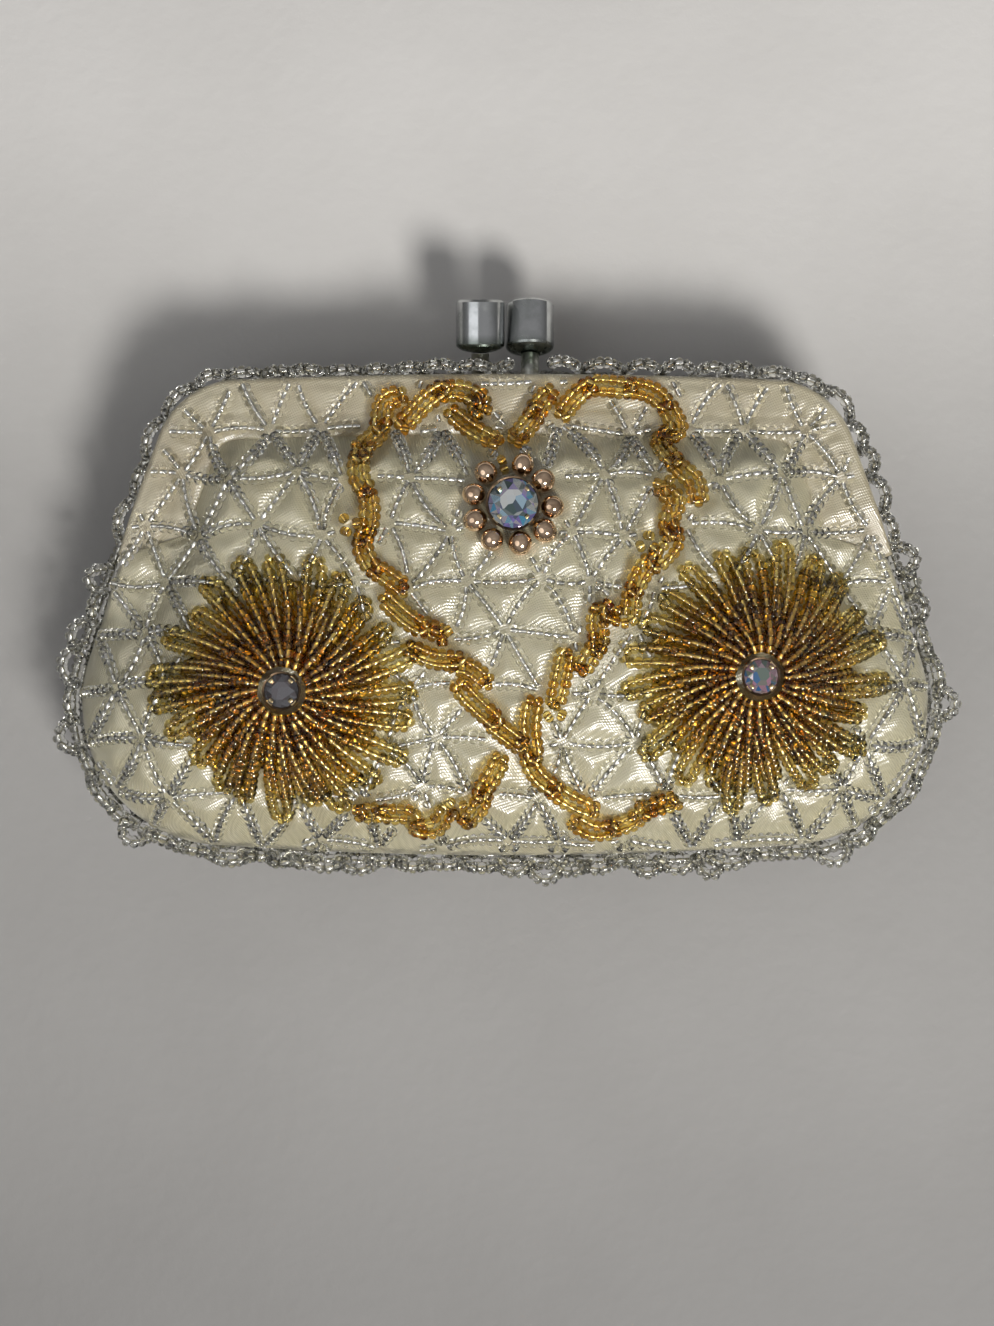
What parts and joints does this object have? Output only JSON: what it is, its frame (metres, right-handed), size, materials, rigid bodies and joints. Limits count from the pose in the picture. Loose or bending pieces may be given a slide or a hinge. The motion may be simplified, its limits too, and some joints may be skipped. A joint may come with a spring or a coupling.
{
  "type": "kiss lock frame purse",
  "caption": "Small padded satin purse with a hinged kiss lock frame, a triangular net of glass beads, gold bead scrolls, two looped flowers and a claw set centre jewel.",
  "frame": {"origin": "centre of the bounding box in X and Y, on the table that the purse lies on", "axes": "+X to the right and +Y toward the kiss lock, both as seen from the beaded front; +Z out of the front, away from the table"},
  "size_m": [0.1314, 0.0858, 0.0344],
  "materials": {
    "frame_metal": "plain steel sheet",
    "rivet_metal": "domed steel",
    "frame_satin": "champagne satin, pulled tight over the frame",
    "body_satin": "ivory satin over soft padding",
    "lining_cloth": "plain ivory lining satin",
    "lock_chrome": "polished, a little worn",
    "stem_metal": "dull, with dark and green tarnish",
    "crystal_beads": "silver lined crystal seed beads",
    "gold_beads": "silver lined amber seed beads",
    "claw_metal": "dark aged claw setting",
    "smoke_stone": "foiled grey rhinestone",
    "blue_stone": "foiled rhinestone with a blue and pink sheen",
    "centre_stone": "foiled rhinestone with a rainbow sheen",
    "rose_metal": "metallic rose gold beads"
  },
  "bodies": {
    "pouch": {"back_frame": "frame_metal", "back_frame_cover": "frame_satin", "back_panel": "body_satin", "back_lining": "lining_cloth", "hinge_rivets": "rivet_metal", "back_knob": "lock_chrome", "back_knob_stem": "stem_metal", "back_edge_beads": "crystal_beads", "back_net_centre": "crystal_beads", "back_net_edge": "crystal_beads", "seam_beads": "crystal_beads", "front_panel": "body_satin", "front_lining": "lining_cloth", "front_fold": "body_satin", "front_fold_net": "crystal_beads", "front_fold_scroll": "gold_beads", "front_net_lower": "crystal_beads", "front_scroll_lower": "gold_beads", "left_flower_loops": "gold_beads", "left_flower_cup": "claw_metal", "left_flower_stone": "smoke_stone", "right_flower_loops": "gold_beads", "right_flower_cup": "claw_metal", "right_flower_stone": "blue_stone"},
    "front": {"front_frame": "frame_metal", "front_frame_cover": "frame_satin", "front_yoke": "body_satin", "yoke_lining": "lining_cloth", "front_knob": "lock_chrome", "front_knob_stem": "stem_metal", "front_edge_beads": "crystal_beads", "front_net_upper": "crystal_beads", "front_scroll_upper": "gold_beads", "centre_cup": "claw_metal", "centre_stone": "centre_stone", "centre_bead_ring": "rose_metal"}
  },
  "joints": [
    {"name": "frame_open", "type": "hinge", "parent": "pouch", "child": "front", "pos_m": [0, 0.0005, 0.014], "axis": [1, 0, 0], "range_deg": [0, 50], "deforming": ["front_fold", "front_fold_net", "front_fold_scroll", "left_flower_loops", "right_flower_loops"]}
  ]
}
